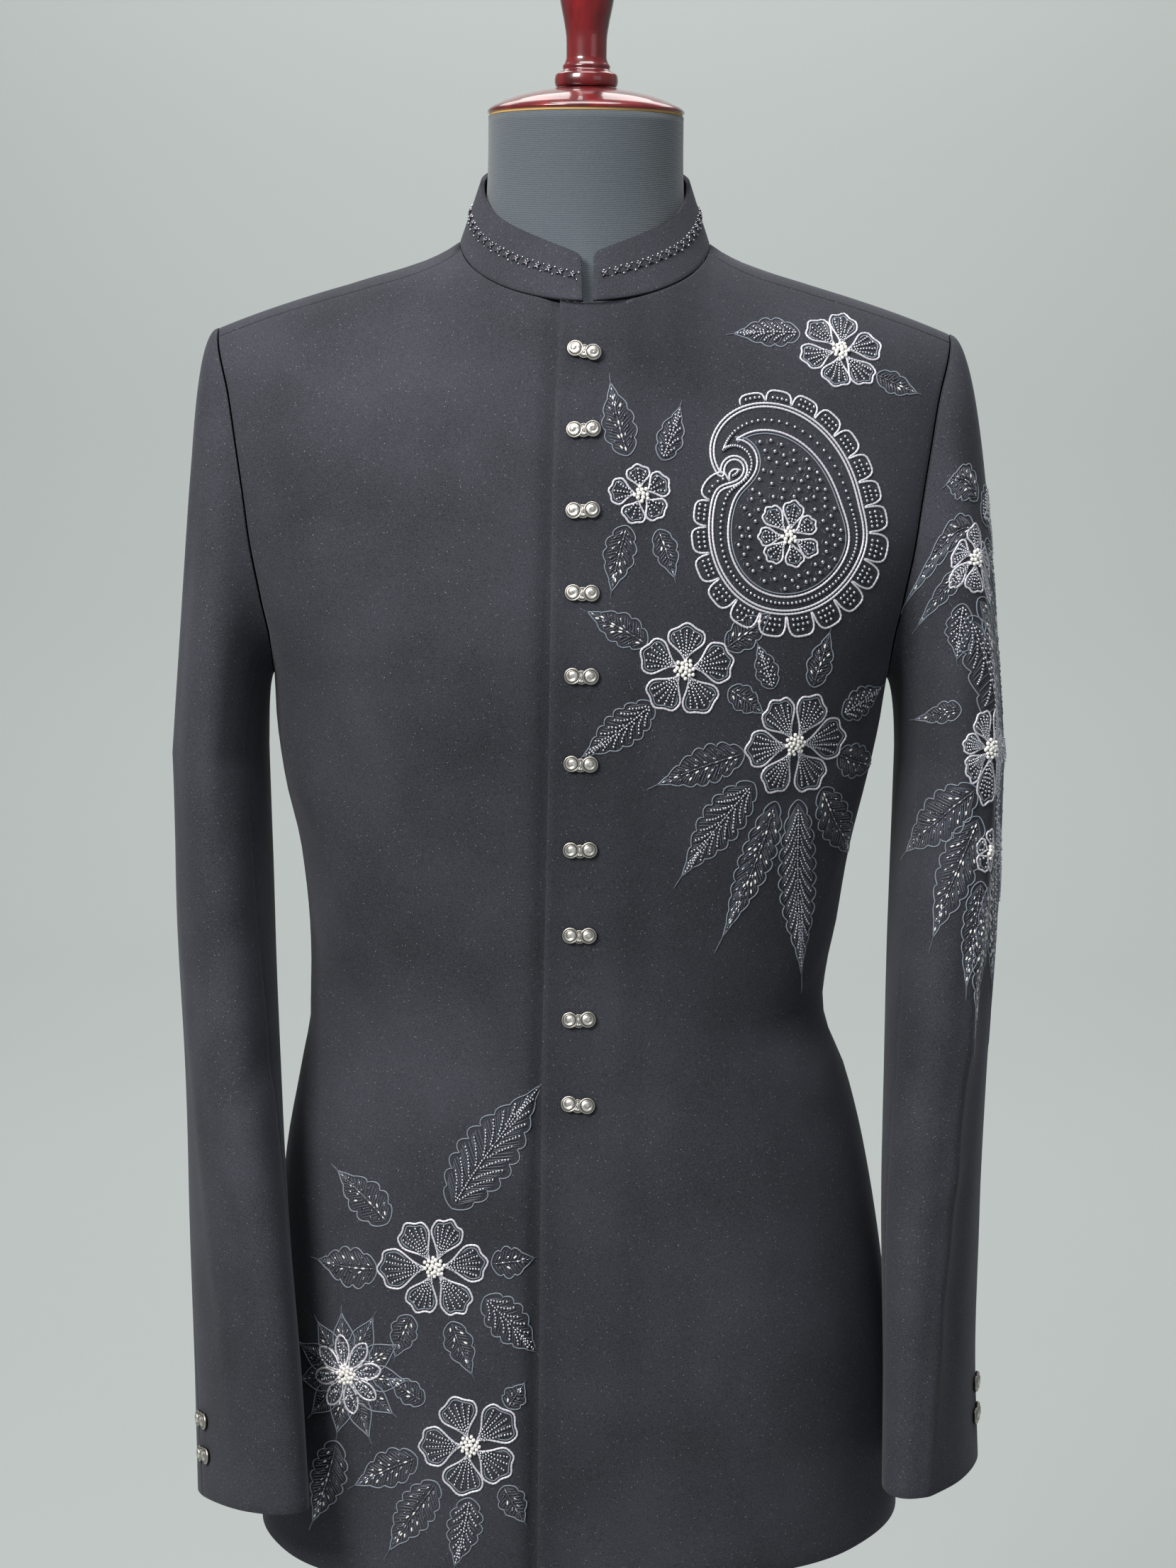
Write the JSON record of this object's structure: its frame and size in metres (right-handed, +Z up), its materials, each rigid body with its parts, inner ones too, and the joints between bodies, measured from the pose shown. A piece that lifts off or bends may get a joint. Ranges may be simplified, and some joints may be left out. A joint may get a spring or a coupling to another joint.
{
  "type": "bandhgala jacket on a dress form",
  "caption": "Black bandhgala jacket with stand collar, beaded flower embroidery and silver toggle buttons, worn on a jersey dress form with a lacquered stand.",
  "frame": {"origin": "centre of the stand's underside, on the floor", "axes": "+Z up along the stand, -Y towards the wearer's front, +X towards the wearer's left"},
  "size_m": [0.51, 0.38, 1.6836],
  "materials": {
    "suiting": "matte wool-blend suiting, near black",
    "button_metal": "antique silver plating on cast alloy, dark in the hollows",
    "form_jersey": "knitted polyester jersey, slate grey",
    "lacquered_wood": "turned wood under high-gloss cherry lacquer"
  },
  "bodies": {
    "root": {"front_left": "suiting", "front_right": "suiting", "back_left": "suiting", "back_right": "suiting", "sleeve_upper_left": "suiting", "sleeve_under_left": "suiting", "sleeve_upper_right": "suiting", "sleeve_under_right": "suiting", "collar": "suiting", "button_1": "button_metal", "button_2": "button_metal", "button_3": "button_metal", "button_4": "button_metal", "button_5": "button_metal", "button_6": "button_metal", "button_7": "button_metal", "button_8": "button_metal", "button_9": "button_metal", "button_10": "button_metal", "cuff_button_left_1": "button_metal", "cuff_button_left_2": "button_metal", "cuff_button_right_1": "button_metal", "cuff_button_right_2": "button_metal", "form_torso": "form_jersey", "neck_cap": "lacquered_wood", "finial": "lacquered_wood", "pole": "lacquered_wood", "foot": "lacquered_wood"}
  },
  "joints": []
}
